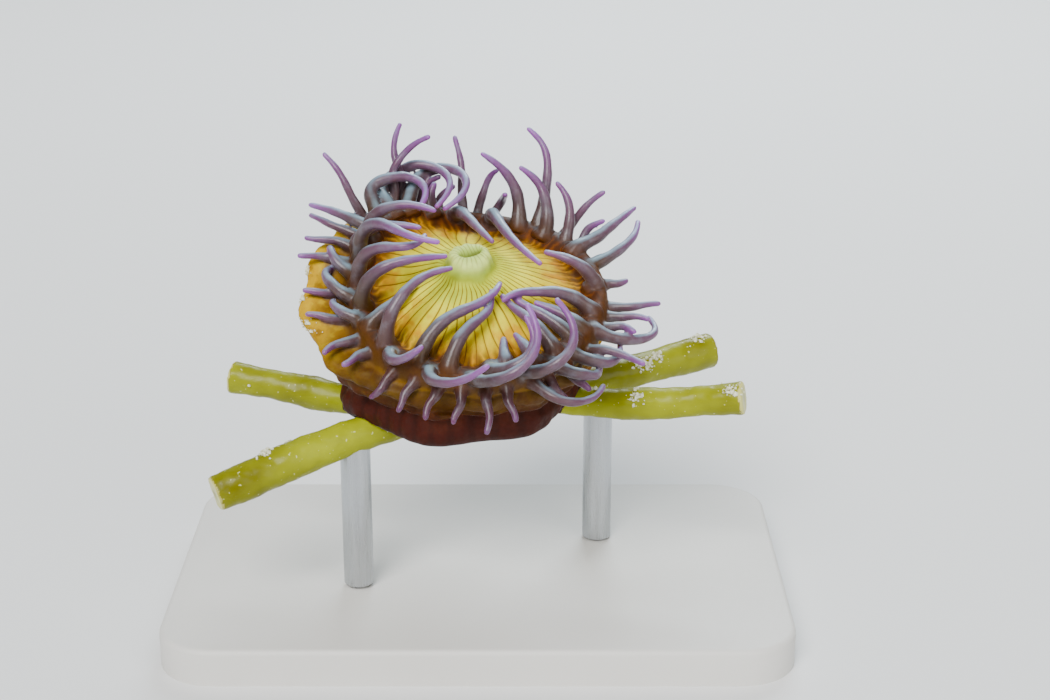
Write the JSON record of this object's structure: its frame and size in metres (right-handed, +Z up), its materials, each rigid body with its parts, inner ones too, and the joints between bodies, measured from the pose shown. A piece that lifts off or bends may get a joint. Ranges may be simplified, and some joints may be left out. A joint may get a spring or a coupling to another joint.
{
  "type": "sea anemone on a seaweed stem",
  "caption": "Still model of a small sea anemone with a domed disc and curling tentacles, gripping a cut seaweed stem on a flat stand.",
  "frame": {"origin": "centre of the stand base's underside", "axes": "+Z up, -Y is the front that the disc leans to, +X is the right seen from the front"},
  "size_m": [0.066, 0.042, 0.05],
  "materials": {
    "stand_plate": "matt off-white",
    "stand_metal": "satin",
    "seaweed": "smooth, wet",
    "column_skin": "smooth, wet",
    "collar_skin": "smooth, wet",
    "disc_skin": "smooth, wet, with thin dark radial lines",
    "mouth_skin": "smooth, wet",
    "tentacle_skin": "smooth, wet, slightly translucent"
  },
  "bodies": {
    "root": {"stand_base": "stand_plate", "stand_rod_left": "stand_metal", "stand_rod_right": "stand_metal", "perch_stem": "seaweed", "perch_branch_left": "seaweed", "perch_branch_right": "seaweed", "pedal_disc": "column_skin", "column": "column_skin", "collar": "collar_skin", "oral_disc": "disc_skin", "mouth": "mouth_skin", "crown_sector_1": "tentacle_skin", "crown_sector_2": "tentacle_skin", "crown_sector_3": "tentacle_skin", "crown_sector_4": "tentacle_skin", "crown_sector_5": "tentacle_skin", "crown_sector_6": "tentacle_skin", "crown_sector_7": "tentacle_skin", "crown_sector_8": "tentacle_skin", "crown_sector_9": "tentacle_skin", "crown_sector_10": "tentacle_skin", "crown_sector_11": "tentacle_skin", "crown_sector_12": "tentacle_skin"}
  },
  "joints": []
}
